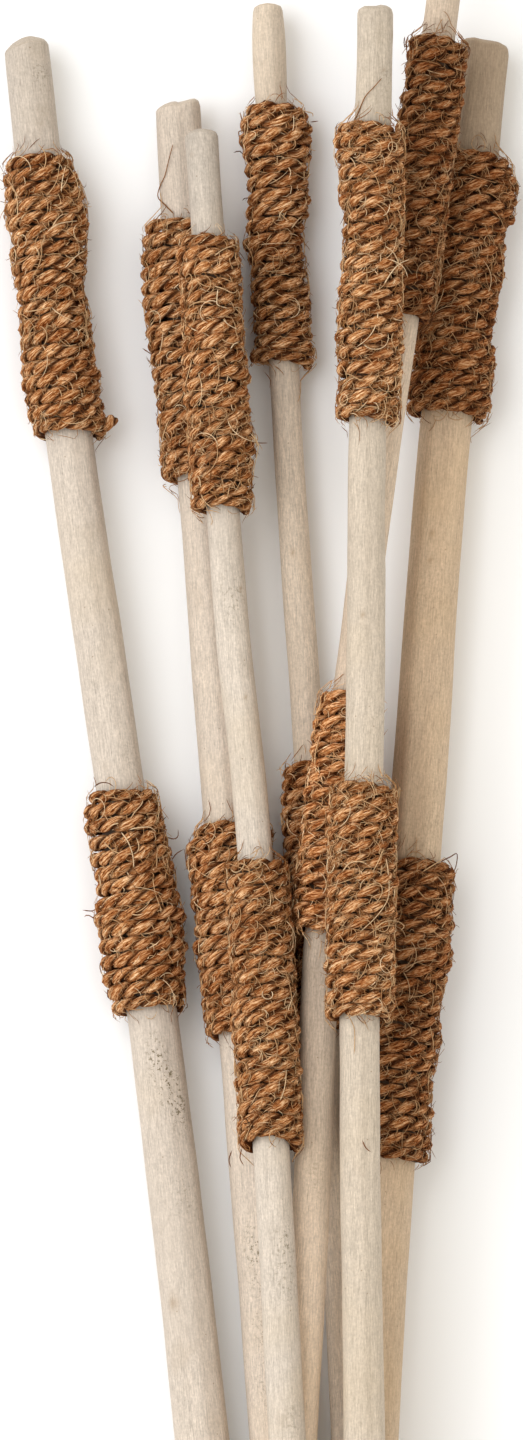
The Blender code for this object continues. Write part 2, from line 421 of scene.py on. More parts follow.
def makeWood(name, tone):
    # The first attribute holds knots, stains and the painted shade under the rope; the second how cut the
    # wood is, its painted light and shade along the stick, and how far it lies from the stick's middle
    material, tree, shader = startMaterial(name)
    marksAndShade, cutShadeRadius, place = partsOf(tree, "marksAndShade"), partsOf(tree, "cutShadeRadius"), placeOf(tree)
    wood = useGroup(tree, grainGroup, {"Vector": attributeOf(tree, "grain")})
    mottle = mapRange(tree, noiseOf(tree, place, 800.0, 2.0), 0.32, 0.68, 0.91, 1.09)
    colour = scaleColour(tree, tone, multiply(tree, wood["Shade"], mottle))
    # slow patches of yellower and greyer wood
    patch = noiseOf(tree, place, 14.0, 3.0, 0.6)
    yellow, grey = (np.multiply(tone, woodTint[label]) for label in ("yellow", "grey"))
    colour = mixColours(tree, mapRange(tree, patch, 0.52, 0.72, 0.0, 0.3), colour, yellow)
    colour = mixColours(tree, mapRange(tree, patch, 0.48, 0.3, 0.0, 0.3), colour, grey)
    # soft smudges everywhere, flecks of dirt where the stains are, and pinholes
    smudge = useGroup(tree, grimeGroup, {"Vector": place, "Scale": 45.0, "Limit": 0.6})["Mask"]
    fleck = mapRange(tree, noiseOf(tree, place, 560.0, 3.0, 0.75), 0.54, 0.62)
    dots = useGroup(tree, dotGroup, {"Vector": place, "Scale": 130.0, "Size": 0.055})["Mask"]
    cut = multiply(tree, cutShadeRadius["X"], 0.35)
    # year rings on the cuts: a sine of the distance from the stick's middle
    unevenness = mapRange(tree, noiseOf(tree, place, 160.0, 2.0), 0.0, 1.0, 0.0, 5.0)
    ring = mathOf(tree, "SINE", mathOf(tree, "MULTIPLY_ADD", cutShadeRadius["Z"], 3.4, unevenness))
    masks = {
        "smudge": multiply(tree, smudge, 0.2),
        "stain": multiply(tree, marksAndShade["Y"], fleck),
        "pinhole": multiply(tree, dots, 0.6),
        "knot": multiply(tree, marksAndShade["X"], 0.65),
        # painted shade: the stick is painted dark brown under the rope, where it shows between turns
        "shadeUnderRope": multiply(tree, marksAndShade["Z"], 0.9),
        "cut": cut,
        "ring": multiply(tree, mapRange(tree, ring, 0.2, 1.0), cut),
    }
    for label, mask in masks.items():
        colour = mixColours(tree, mask, colour, woodTint[label])
    # the base colour takes the painted light and shade along the stick
    settings = {
        "Base Color": scaleColour(tree, colour, cutShadeRadius["Y"]),
        "Roughness": mapRange(tree, wood["Height"], 0.3, 0.7, 0.8, 0.6),
        "Specular IOR Level": 0.25,
        "Normal": bumpOf(tree, wood["Height"], 0.6, 0.2),
    }
    fill(tree, shader, settings)
    return material


# Each stick: tone is its wood's colour, tanner on d, f and g, and on g darker too, partly painted shade.
# Shade is painted light and shade along the stick, as (along, factor): lighter where the stick lies in the
# bunch's shadow, and darker towards some tips, partly greyer wood and partly painted shade. Tip is the drop
# of the tip's outline below its highest point, from left (-1) to right (1), and fall the drop to its front
# and back. Knots are (along, degrees, size) and stains (along, degrees, size, depth), where 0 degrees is the
# right side and 90 the top. Facets (degrees, share) and creases (degrees, depth, half width) run all along

stickLook = {
    "a": {
        "slot": "wood", "tone": (0.565, 0.49, 0.415), "fall": 3.0,
        "tip": [(-1, 6.7), (-0.66, 3.1), (-0.14, 0.5), (0.2, 0), (0.5, 0.8), (0.85, 2.4), (1, 4.7)],
        "shade": [(-300, 1.08), (0, 1.04), (250, 1.02), (400, 0.93), (450, 0.88)],
        "knots": [(30, 60, 1.8), (-160, 120, 2.2), (-340, 80, 2.5)],
        "stains": [(430, 58, 4.5, 0.6), (-40, 95, 5, 0.9), (-52, 80, 6, 1.0), (-62, 62, 6, 0.9),
                   (-72, 45, 6, 0.6), (-110, 60, 9, 0.4), (100, 45, 7, 0.3)],
        "facets": [(103, 0.05), (64, 0.06)], "creases": [(84, 0.3, 0.12)],
    },
    "b": {
        "slot": "wood", "tone": (0.565, 0.482, 0.40), "fall": 2.0,
        "tip": [(-1, 5.0), (-0.7, 2.6), (-0.37, 1.2), (-0.1, 0.9), (0.05, 1.7), (0.2, 1.7), (0.35, 0.6),
                (0.75, 0), (0.93, 1.2), (1, 3.4)],
        "shade": [(-300, 1.2), (0, 1.16), (200, 1.12), (420, 1.02)],
        "knots": [(395, 105, 0.8), (180, 80, 1.4), (-250, 100, 2.4)],
        "stains": [(-132, 100, 8, 0.9), (-146, 90, 7, 0.8), (-172, 85, 9, 0.7), (-200, 95, 9, 0.5),
                   (60, 60, 12, 0.35), (20, 120, 9, 0.3)],
        "facets": [(115, 0.04), (72, 0.05)], "creases": [(75, 0.4, 0.1)],
    },
    "c": {
        "slot": "wood", "tone": (0.56, 0.49, 0.415), "fall": 1.5,
        "tip": [(-1, 3.5), (-0.8, 1.7), (-0.4, 0.4), (0, 0), (0.47, 0.6), (0.87, 2.1), (1, 4.0)],
        "shade": [(-300, 1.06), (150, 1.08), (340, 0.98), (400, 0.84)],
        "knots": [(391, 130, 0.7), (182, 45, 1.0), (130, 67, 1.0)],
        "stains": [(178, 75, 8, 0.5), (-130, 55, 6, 0.8), (-150, 70, 8, 0.5), (-215, 60, 7, 0.35)],
        "facets": [(100, 0.035), (60, 0.03)], "creases": [(85, 0.15, 0.15)],
    },
    "d": {
        "slot": "shaded_wood", "tone": (0.51, 0.43, 0.345), "fall": 1.2,
        "tip": [(-1, 3.7), (-0.85, 1.9), (-0.5, 0.6), (0, 0), (0.5, 0.6), (0.88, 1.7), (1, 3.3)],
        "shade": [(-250, 1.5), (-50, 1.45), (250, 1.4), (420, 1.18)],
        "knots": [(200, 100, 1.2)],
        "stains": [(150, 60, 8, 0.25)],
        "facets": [(100, 0.045)], "creases": [(60, 0.15, 0.2)],
    },
    "e": {
        "slot": "wood", "tone": (0.56, 0.477, 0.382), "fall": 1.5,
        "tip": [(-1, 4), (-0.93, 2.4), (-0.65, 0.7), (0.04, 0.6), (0.1, 0.9), (0.27, 0), (0.65, 0.4),
                (0.9, 1.8), (1, 4.2)],
        "shade": [(-300, 1.03), (200, 1.0), (400, 0.93), (460, 0.9)],
        "knots": [(447, 12, 1.6), (430, 60, 0.8), (170, 100, 1.2)],
        "stains": [(120, 40, 9, 0.25), (425, 45, 6, 0.35)],
        "facets": [(108, 0.05), (70, 0.055)], "creases": [(70, 0.3, 0.12)],
    },
    "f": {
        "slot": "shaded_wood", "tone": (0.56, 0.45, 0.345), "fall": 1.5,
        "tip": [(-1, 3), (-0.6, 0.8), (0, 0), (0.6, 0.8), (1, 3)],
        "shade": [(-300, 1.34), (-150, 1.32), (-90, 1.1), (0, 1.0), (250, 1.2), (480, 1.0)],
        "knots": [(250, 90, 1.4), (-230, 70, 1.6)],
        "stains": [(-100, 80, 10, 0.3)],
        "facets": [(95, 0.04)], "creases": [(95, 0.2, 0.15)],
    },
    "g": {
        "slot": "shaded_wood", "tone": (0.43, 0.325, 0.225), "fall": 1.5,
        "tip": [(-1, 2.9), (-0.84, 1.0), (-0.47, 0), (-0.26, 0.6), (0.48, 1.0), (0.85, 2.8), (0.96, 4.6),
                (1, 7.2)],
        "shade": [(-300, 1.28), (0, 1.36), (260, 1.36), (390, 0.9), (450, 0.88)],
        "knots": [(209, 101, 1.2), (196, 101, 1.0), (-250, 60, 2.2)],
        "stains": [(180, 100, 14, 0.2), (-145, 165, 6, 0.8), (70, 60, 12, 0.25)],
        "facets": [(88, 0.09), (140, 0.05)], "creases": [(100, 0.25, 0.12)],
    },
}

stickShape = {
    "sides": 32,
    "spacing": 7.0,  # between rows along the stick
    "nearKnots": (-3, -1.5, 0, 1.5, 3),  # more rows, this far from each knot
    "slim": 0.985,  # share of the CAD radius, so that the relief stays under the rope
    "waves": [(1, 0.10, 210), (2, 0.14, 160), (3, 0.09, 95), (2, 0.07, 48), (5, 0.05, 70)],
    "knotDepth": 0.15,
    "knotMost": 1.5,  # size from which knots get no deeper
    "squash": {"knot": 0.5, "stain": 0.4},  # under 1 draws the spot out along the grain
    "swing": {"facet": (0.1, 150), "crease": (0.12, 130), "grain": (0.4, 170)},  # radians, and millimetres
    "tipLength": 20.0,  # the stretch that follows the tip's outline
    "tipRows": 10,
    "tipCrowd": 1.3,  # above 1, rows lie closer towards the tip
    "tipEase": 1.5,
    "rim": (0.94, 0.06, 0.5),  # where the tip's rim begins to round off, over what share, and how far
    "sawnRings": (0.02, 0.6, 0.95, 0.99),  # share of the radius on the rings that close the two ends
    "tipRings": (0.985, 0.94, 0.82, 0.6, 0.3, 0.02),
    "sawnRim": (0.6, 3),  # how far from the sawn end the rim's last ring and the first row lie
    "cutShare": 0.99,  # the ends look cut inside this share of the radius: fully when sawn, less at the tip
    "cutSawn": 1.0,
    "cutTip": 0.4,
    "underFrom": 2,  # the painted shade under the rope begins this far inside the wrap, and is full this much further
    "underFull": 3,
    "grainStretch": 0.1,
    "sharp": 50,  # degrees from which an edge is sharp
}


def wrapSpan(node, stick):
    # where a wrap begins and ends along its stick: its box, less what the lean adds at the rope's edge
    low, high = spanOf(node)
    rows = lineAt(stick, np.array([low, high]))
    lean = np.hypot(*(rows[1, :2] - rows[0, :2])) / (high - low)
    edge = (rows[:, 2].mean() + ropeShape["gap"] + ropeShape["thick"]) * lean
    return low + edge, high - edge


def turnedBy(angle, degrees):
    # angle from this direction, between minus and plus half a turn
    return (angle - np.radians(degrees) + np.pi) % fullTurn - np.pi


def farFrom(spot, kind, y, a, radius):
    # squared distance over the wood from a spot, with less weight along the grain, in the spot's own size
    place, degrees, size = spot[:3]
    squash = stickShape["squash"][kind]
    return ((y - place) ** 2 * squash + (radius * turnedBy(a, degrees)) ** 2) / size**2


def swingAt(y, kind):
    # how far round the stick something turns on its way along: amount sin(y / length)
    amount, length = stickShape["swing"][kind]
    return amount * np.sin(y / length)


def stickRows(stick, look):
    # places along the stick and the share of its radius there, from the sawn end to the tip. Rings of
    # shrinking size close both ends
    shape = stickShape
    low, high = stick["along"][0], stick["along"][-1]
    rim, first = shape["sawnRim"]
    body = np.linspace(low + first, high - shape["tipLength"], int((high - low) / shape["spacing"]))
    close = np.add.outer([knot[0] for knot in look["knots"]], shape["nearKnots"]).ravel()
    body = np.sort(np.concatenate([body, close[(close > body[0]) & (close < body[-1])]]))
    toTip = high - shape["tipLength"] * (1 - np.linspace(0, 1, shape["tipRows"])[1:]) ** shape["tipCrowd"]
    along = np.concatenate([[low, low, low, low + rim], body, toTip, np.full(len(shape["tipRings"]), high)])
    return along, np.concatenate([shape["sawnRings"], np.ones(len(body) + len(toTip)), shape["tipRings"]])


def reliefAt(y, a, radius, look, rng):
    # what the surface adds to the radius, and how much knot there is: slow waves, a ridge round a hollow at
    # each knot, facets, where r = radius (1 - share) / cos(angle from the facet's middle), and creases
    shape = stickShape
    relief, knot = np.zeros(y.shape), np.zeros(y.shape)
    for lobes, depth, length in shape["waves"]:
        phase, drift = rng.uniform(0, fullTurn, 2)
        relief += depth * np.sin(lobes * a + fullTurn * y / length + phase) * np.sin(y / 90 + drift)
    for spot in look["knots"]:
        far = farFrom(spot, "knot", y, a, radius)
        knot += np.exp(-far)
        depth = shape["knotDepth"] * min(spot[2], shape["knotMost"])
        relief += depth * (np.exp(-far / 4) - 1.3 * np.exp(-far * 1.5))
    for degrees, share in look["facets"]:
        flat = (1 - share) / np.maximum(np.cos(turnedBy(a, degrees) - swingAt(y, "facet")), 0.5)
        relief += radius * np.minimum(flat - 1, 0)
    for degrees, depth, half in look["creases"]:
        gap = turnedBy(a, degrees) - swingAt(y, "crease")
        relief -= depth * np.exp(-((gap / half) ** 2))
    return relief, knot


def underRope(letter, y, a):
    # 1 where a wrap covers the stick, down to 0 at the wrap's ends, which lean as the turns do: the mask of
    # the painted shade under the rope
    begin, full = stickShape["underFrom"], stickShape["underFull"]
    under = np.zeros(y.shape)
    for node in ("lower_wrap_" + letter, "upper_wrap_" + letter):
        low, high = wrapSpan(node, sticks[letter])
        moved = y - leanAt(node, (y - low) / (high - low), a)
        under += np.clip(np.minimum(moved - low - begin, high - begin - moved) / full, 0, 1)
    return under


def tipDrop(y, a, s, high, look):
    # how far the tip's outline moves a point down: its drop as far right as that, more towards the front and
    # back and on the rim, and fading out over the tip's length
    length = stickShape["tipLength"]
    rim, wide, deep = stickShape["rim"]
    right, front = s * np.cos(a), s * np.sin(a)
    drop = np.interp(right, *np.array(look["tip"], float).T) + look["fall"] * front**2
    drop += deep * np.clip((s - rim) / wide, 0, 1)
    return drop * np.clip((y - high + length) / length, 0, 1) ** stickShape["tipEase"]


def addStick(letter):
    # rings of points along the stick: s is the share of the radius, a the angle and y the place along
    rng = np.random.default_rng(100 + letters.index(letter))
    stick, look, shape = sticks[letter], stickLook[letter], stickShape
    along, share = stickRows(stick, look)
    y, a = np.meshgrid(along, evenTurns(shape["sides"]), indexing="ij")
    s = np.repeat(share[:, None], shape["sides"], 1)
    radius = lineAt(stick, y)[..., 2]
    relief, knot = reliefAt(y, a, radius, look, rng)
    stain = sum(spot[3] * np.exp(-farFrom(spot, "stain", y, a, radius)) for spot in look["stains"])
    moved = y - tipDrop(y, a, s, stick["along"][-1], look)
    reach = radius * shape["slim"] + relief
    points = around(stick, moved, a, s * reach - lineAt(stick, moved)[..., 2])[0]
    # what the material reads, with the painted light and shade along the stick and the painted shade under
    # the rope
    swirl = a + swingAt(y, "grain")
    grain = np.stack([s * radius * np.cos(swirl), s * radius * np.sin(swirl), y * shape["grainStretch"]], -1)
    cut = (s < shape["cutShare"]) * np.where(y < 0, shape["cutSawn"], shape["cutTip"])
    tone = np.interp(y, *np.array(look["shade"], float).T)
    values = {
        "grain": grain + rng.uniform(0, 500, 3),
        "marksAndShade": np.stack([knot, stain, underRope(letter, y, a)], -1),
        "cutShadeRadius": np.stack([cut, tone, s * radius], -1),
    }
    flat, faces = closeTubes(points[None])
    piece = addPiece(
        "pole_" + letter, flat, [part[:, ::-1] for part in faces], makeWood("wood_" + letter, look["tone"]),
        [(label, withEnds(grid[None])) for label, grid in values.items()], shape["sharp"],
    )
    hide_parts("stick_" + letter)


# Rope

ropeShape = {
    "thick": 7.0,
    "pitch": 7.2,
    "gap": 0.3,
    "strands": 2,
    "lay": 16.8,  # length of one turn of the strands about each other
    "layStray": 0.12,  # how much that differs from wrap to wrap
    "perLay": 9.2,
    "sides": 8,
    "strandOut": 1.75,  # from the rope's middle to a strand's, off the stick and along it
    "strandBeside": 1.75,
    "strandTall": 2.1,
    "strandWide": 2.5,
    "swell": 0.2,
    "bulge": 0.9,  # wander off the stick: two waves, each of bulgeShare, on a steady bulgeOut
    "bulgeShare": 0.6,
    "bulgeOut": 0.1,
    "bulgeTurns": (0.35, 2.7),  # turns from one value of a wave to the next
    "stray": 0.45,  # wander along the stick, and tilt the same, but opposite on its left and right
    "strayTurns": 0.4,
    "tilt": 1.6,
    "tiltTurns": 2.6,
    "rough": 0.14,
    "fibreSlant": 0.6,
    "fibreStretch": 0.2,
    "startAngle": -28,  # degrees. Both ends lie behind the bunch's outline
    "endAngle": 208,
    "taper": 0.8,  # turns over which both ends thin out, and so round the wrap's edges
    "tip": 0.75,
    "inward": 0.8,  # share of a pitch that the thin ends lie nearer to the next turn
    "edge": -0.1,  # of its thickness, from the wrap's edge to the rope's middle
    "deepest": -3.0,  # the most that the bulges and the outline put the rope in
    "endFacing": 0.0,  # what a strand's closed end counts as, between its outer side (1) and its inner (-1)
    "floor": 0.05,  # the rope is pressed flat at this height, where the bunch lies on it
}

# How far a wrap's outline in the photo lies outside a plain sleeve, on its left and right:
# (row of the picture, pixels), where it differs by much

wrapOutline = {
    "upper_wrap_a": {
        "left": [(172, -1), (188, -2), (210, 3), (234, -2), (256, 1), (298, -3), (330, -1), (400, 0),
                 (420, -3)],
        "right": [(172, -3), (188, 2), (208, 6), (228, 5), (248, 1), (270, -2), (290, -7), (316, -3),
                  (364, -4), (384, -1), (404, -4), (424, 1)],
    },
    "lower_wrap_a": {
        "left": [(800, -4), (816, 3), (830, -1), (862, -1), (880, -4), (900, 2), (917, 6), (930, 0),
                 (968, 4), (985, 1), (1010, -1)],
        "right": [(796, -3), (820, -2), (850, 0), (880, 3), (895, 0), (917, 6), (940, 1), (956, 2),
                  (970, -3), (992, -4)],
    },
    "upper_wrap_b": {
        "left": [(232, 5), (300, 8), (330, 6), (352, 4), (384, 2), (416, 0), (464, 2)],
    },
    "lower_wrap_b": {
        "left": [(828, -4), (852, 6), (880, 2), (900, 3), (912, -1), (948, 5), (972, 0), (1020, -1)],
    },
    "upper_wrap_c": {
        "right": [(357, -1), (381, 2), (389, -2), (421, 2), (447, 7), (470, 1), (493, -1)],
    },
    "lower_wrap_d": {
        "left": [(764, 2), (780, -2), (800, 0), (820, 2)],
    },
    "upper_wrap_d": {
        "left": [(110, -2), (134, 4), (158, 0), (180, -3), (206, -3), (222, 0), (242, 6), (258, 0),
                 (340, -2), (352, 4), (360, 4)],
        "right": [(110, 3), (126, 8), (155, 8), (174, 4), (190, 2), (206, 4), (230, -3), (262, -2), (302, 1),
                  (340, -1), (352, 3), (360, 3)],
    },
    "upper_wrap_e": {
        "left": [(136, 5), (160, 5), (176, 0), (206, 0), (218, -6), (240, -5), (280, -5), (304, -1),
                 (328, -2), (344, -1), (380, -4), (408, -1)],
    },
    "lower_wrap_f": {
        "right": [(697, 0), (713, 4), (737, 4), (769, 6)],
    },
    "upper_wrap_f": {
        "left": [(47, 0), (63, -3), (87, -5), (103, -2)],
    },
    "lower_wrap_g": {
        "right": [(866, 1), (906, 1), (922, 4), (934, 0), (956, 5), (978, 1), (1014, -3), (1040, 2),
                  (1072, -4), (1100, -3), (1146, 0)],
    },
    "upper_wrap_g": {
        "right": [(168, 1), (180, 8), (200, 8), (212, 5), (230, -2), (272, 2), (296, -1), (334, -4),
                  (358, 3), (390, 2)],
    },
}

# Each wrap: lean is how far up the stick its turns lie in millimetres, at the lowest turn on the stick's
# front and at its sides, and at the highest turn on its front and at its sides. Fuzz is how many crossing
# and looping fibres it has, and shade is painted light and shade on its rope and fibres: under 1 where the
# wrap lies in shade, over 1 where it is lifted out of the bunch's shadow

wrapLook = {
    "lower_wrap_a": {"lean": (1.5, -1.5, 0.0, -2.0), "fuzz": 0.8, "shade": 1.04},
    "lower_wrap_b": {"lean": (0.5, -3.0, 0.5, -4.0), "fuzz": 0.85, "shade": 1.1},
    "lower_wrap_c": {"lean": (4.5, -1.0, -1.5, -4.0), "fuzz": 1.15, "shade": 1.0},
    "lower_wrap_d": {"lean": (1.5, -1.5, 0.5, -3.0), "fuzz": 0.7, "shade": 1.22},
    "lower_wrap_e": {"lean": (3.5, 0.5, 0.0, -3.0), "fuzz": 1.5, "shade": 1.02},
    "lower_wrap_f": {"lean": (1.5, -1.5, 0.5, -3.0), "fuzz": 1.1, "shade": 1.34},
    "lower_wrap_g": {"lean": (0.5, 0.5, 1.0, -4.0), "fuzz": 1.2, "shade": 0.76},
    "upper_wrap_a": {"lean": (1.2, -2.5, 3.0, -0.5), "fuzz": 0.9, "shade": 1.0},
    "upper_wrap_b": {"lean": (1.5, -1.5, 0.5, -3.0), "fuzz": 1.0, "shade": 1.0},
    "upper_wrap_c": {"lean": (1.5, -1.0, 0.0, -2.7), "fuzz": 1.25, "shade": 1.02},
    "upper_wrap_d": {"lean": (1.7, 0.0, 1.3, -2.5), "fuzz": 0.75, "shade": 1.06},
    "upper_wrap_e": {"lean": (0.5, -2.5, -2.7, -6.5), "fuzz": 1.5, "shade": 1.0},
    "upper_wrap_f": {"lean": (1.5, -1.5, 0.5, -3.0), "fuzz": 1.55, "shade": 0.61},
    "upper_wrap_g": {"lean": (1.3, -2.0, 1.0, -5.0), "fuzz": 1.45, "shade": 0.67},
}


def makeRopeMaterial(name, tint):
    # relief is how far a point stands out from the stick, the rope's painted light and shade, and how far
    # the point is on its strand's outer side. The first and last set where shade is painted between turns
    # and strands
    material, tree, shader = startMaterial(name)
    relief, place = partsOf(tree, "relief"), placeOf(tree)
    streaks = useGroup(tree, fibreGroup, {"Vector": attributeOf(tree, "strand"), "Scale": 1.2})
    colour = addRamp(tree, streaks["Streak"], tint["fibres"])
    # slow change of tone along the rope, then painted shade deep between the turns and on the strands' inner
    # sides
    tone = mapRange(tree, noiseOf(tree, place, 75.0, 4.0), 0.4, 0.66)
    colour = mixColours(tree, tone, colour, mixColours(tree, 1.0, colour, tint["deep"], "MULTIPLY"))
    colour = mixColours(tree, mapRange(tree, relief["X"], 0.25, 0.75, 0.95, 0.0), colour, tint["gap"])
    colour = mixColours(tree, mapRange(tree, relief["Z"], 0.6, -0.1, 0.0, 0.88), colour, tint["gap"])
    grime = useGroup(tree, grimeGroup, {"Vector": place, "Scale": 75.0, "Limit": 0.63})["Mask"]
    colour = mixColours(tree, multiply(tree, grime, 0.6), colour, tint["grime"])
    # painted light and shade of the whole wrap, made redder where it is darker
    colour = scaleColour(tree, colour, relief["Y"])
    settings = {
        "Base Color": useGroup(tree, shadeRedderGroup, {"Color": colour, "Shade": relief["Y"]})["Color"],
        "Roughness": mapRange(tree, streaks["Streak"], 0.0, 1.0, 0.95, 0.7),
        "Specular IOR Level": 0.05,
        "Normal": bumpOf(tree, streaks["Height"], 1.0, 0.6),
    }
    fill(tree, shader, settings)
    return material


# fibres run from dark to pale, deep darkens slow patches, gap is the painted shade between turns and
# strands, and grime is dirt
ropeTint = {
    "fibres": [(0.1, (0.10, 0.021, 0.003)), (0.36, (0.335, 0.117, 0.032)), (0.6, (0.565, 0.284, 0.116)),
               (0.9, (0.87, 0.60, 0.36))],
    "deep": (0.66, 0.52, 0.42),
    "gap": (0.045, 0.010, 0.002),
    "grime": (0.07, 0.055, 0.035),
}
ropeMaterial = makeRopeMaterial("jute_rope", ropeTint)


# How much the strands wander, and over what length: their twist together and each on its own, how far they
# lie from the rope's middle, and how thick they are. Ease is the length over which their ends thin out
strandWander = {"twist": (0.3, 24), "angle": (0.2, 9), "away": (0.18, 7), "swell": 6, "ease": 1.5}


def layStrands(centre, out, beside, lays, size, look, rng):
    # strands twisted about the centre line: each stays strandOut from it, at an angle that turns steadily,
    # and an equal share of a turn from the next
    travel = travelAlong(centre)
    stray = lambda part: strandWander[part][0] * wander(travel, strandWander[part][1], rng)
    twist = fullTurn * lays * travel / travel[-1] + stray("twist")
    ahead = evenTurns(look["strands"])
    psi = np.stack([twist + part + stray("angle") for part in ahead])[..., None]
    offset = np.cos(psi) * out - np.sin(psi) * beside
    oval = look["strandOut"] * np.cos(psi) * out - look["strandBeside"] * np.sin(psi) * beside
    away = np.stack([1 + stray("away") for part in ahead])
    path = centre + oval * (away * size)[..., None]
    swell = np.stack([1 + look["swell"] * wander(travel, strandWander["swell"], rng) for part in ahead])
    end = np.clip(np.minimum(travel, travel[-1] - travel) / strandWander["ease"], 0, 1) ** 0.5 * 0.5 + 0.5
    lift, side = frameAlong(path, offset)
    return {
        "path": path, "lift": lift, "side": side, "travel": travel, "size": size,
        "tall": look["strandTall"] * swell * end * size, "wide": look["strandWide"] * swell * end * size,
    }


def skinStrands(strands, look, rng):
    # the strands' surface and the vector that their fibres follow: along, and round with a steady slant
    sides = look["sides"]
    ring = ringsAlong(*(strands[k] for k in ("path", "lift", "side", "tall", "wide")), sides)
    middle = strands["path"][:, :, None]
    ring = middle + (ring - middle) * (1 + rng.normal(0, look["rough"] / 2, ring.shape[:3])[..., None])
    slant = look["fibreSlant"] / look["strandWide"] * strands["travel"][:, None]
    turn = evenTurns(sides) - slant
    along = np.repeat(strands["travel"][:, None] * look["fibreStretch"], sides, 1)
    circle = look["strandWide"] * np.stack([np.cos(turn), np.sin(turn)])
    vector = np.broadcast_to(np.stack([along, *circle], -1), ring.shape)
    return ring, vector + rng.uniform(0, 300, (len(ring), 1, 1, 3))


def meshStrands(strands, look, rng):
    # the strands' closed skin, with six values for each point: the vector that the fibres follow, how far it
    # stands out and its painted light and shade, both 1 here, and how far it is on its strand's outer side:
    # cos(angle), from which shade is painted between the strands
    ring, vector = skinStrands(strands, look, rng)
    points, faces = closeTubes(ring)
    facing = np.broadcast_to(np.cos(evenTurns(look["sides"])), ring.shape[:3])
    facing = np.concatenate([facing.ravel(), np.full(2 * len(ring), look["endFacing"])])
    whole = np.ones(len(points))
    return points, faces, np.column_stack([withEnds(vector), whole, whole, facing])


def outlineAt(node, along, angle):
    # how far the outline puts the rope out: fully at the left and right sides, and less towards top and back
    grown = np.zeros(along.shape)
    for label, way in (("left", -1), ("right", 1)):
        rows = np.array(wrapOutline.get(node, {}).get(label, [(0, 0)]), float)
        place = (photo["high"] / 2 - rows[::-1, 0]) * photo["scale"] + photo["middle"][1]
        grow = np.interp(along, place, rows[::-1, 1] * photo["scale"])
        grown += grow * np.maximum(way * np.cos(angle), 0) ** 1.5
    return grown


def leanAt(node, share, angle):
    # how far along the stick the lean moves a point: side + (front - side) sin(angle), from the lowest turn
    # (share 0) to the highest (1)
    lowFront, lowSide, highFront, highSide = wrapLook[node]["lean"]
    share = np.clip(share, 0, 1)
    side = lowSide + (highSide - lowSide) * share
    front = lowFront + (highFront - lowFront) * share
    return side + (front - side) * np.sin(angle)


def windRope(node, letter, look, seed):
    # the rope's middle goes round the stick a fixed distance off it, and climbs one pitch each turn. Slow
    # wanders add to both. The ends thin out, and lie against the stick and the turn beside them
    rng = np.random.default_rng(seed)
    stick = sticks[letter]
    low, high = wrapSpan(node, stick)
    low += look["thick"] * look["edge"]
    high -= look["thick"] * look["edge"]
    extra = (look["endAngle"] - look["startAngle"]) / 360 % 1
    turns = round((high - low) / look["pitch"] - extra) + extra
    middle = lineAt(stick, np.array([(low + high) / 2]))[0, 2] + look["gap"] + look["thick"] / 2
    # each turn has some bumps and a half, so that those of one turn lie between those of the next
    lay = look["lay"] * (1 + look["layStray"] * rng.uniform(-1, 1))
    bumps = round(fullTurn * middle / (lay / look["strands"]) - 0.5) + 0.5
    lays = turns * bumps / look["strands"]
    t = np.linspace(0, turns, int(lays * look["perLay"]))
    toEnd = np.minimum(t, turns - t)
    settle = np.clip(toEnd, 0, 1)
    size = look["tip"] + (1 - look["tip"]) * np.clip(toEnd / look["taper"], 0, 1)
    inward = look["pitch"] * look["inward"] * (1 - size) * np.where(t < turns / 2, 1, -1)
    angle = np.radians(look["startAngle"]) + fullTurn * t
    stray = look["stray"] * wander(t, look["strayTurns"], rng) * settle
    along = low + (high - low) * t / turns + inward + stray
    tilt = look["tilt"] * wander(t, look["tiltTurns"], rng) * np.cos(angle)
    along += tilt + leanAt(node, t / turns, angle)
    quick, slow = (wander(t, span, rng) * look["bulgeShare"] for span in look["bulgeTurns"])
    bulge = look["bulge"] * (quick + slow + look["bulgeOut"]) * settle
    moved = np.maximum(bulge + outlineAt(node, along, angle), look["deepest"])
    centre, out, forward = around(stick, along, angle, look["gap"] + look["thick"] / 2 * size + moved)
    strands = layStrands(centre, out, forward, lays, size, look, rng)
    return {"node": node, "letter": letter, "low": low, "high": high, "strands": strands}


# A short end of rope that sticks out of a wrap: places in the picture, its height, its size from root to
# end, and points along it

ropeTails = {
    "upper_wrap_a": {
        "places": [(92, 427), (100, 427), (107, 425), (112, 420), (114, 417)], "height": 20.0,
        "size": (0.95, 0.8), "rows": 14,
    },
}


def lineThrough(places):
    # places as stations for lineAt, one step apart
    return {"along": np.arange(len(places), dtype=float), "rows": np.array(places, float)}


def addTail(tail, look, rng):
    # strands along the tail's line, as in the rope
    t = np.linspace(0, len(tail["places"]) - 1, tail["rows"])
    across, along = fromPhoto(lineAt(lineThrough(tail["places"]), t), tail["height"])
    centre = np.column_stack([across, along, np.full(len(t), tail["height"])])
    size = np.linspace(*tail["size"], len(t))
    ahead = unit(np.gradient(centre, axis=0))
    out = np.broadcast_to([0.0, 0.0, 1.0], centre.shape)
    strands = layStrands(centre, out, np.cross(ahead, out), lengthOf(centre) / look["lay"], size, look, rng)
    return meshStrands(strands, look, rng)


def addStrands(name, parts, material):
    points, faces, values = joinParts(parts)
    attributes = [("strand", values[:, :3]), ("relief", values[:, 3:])]
    return addPiece(name, points, faces, material, attributes)


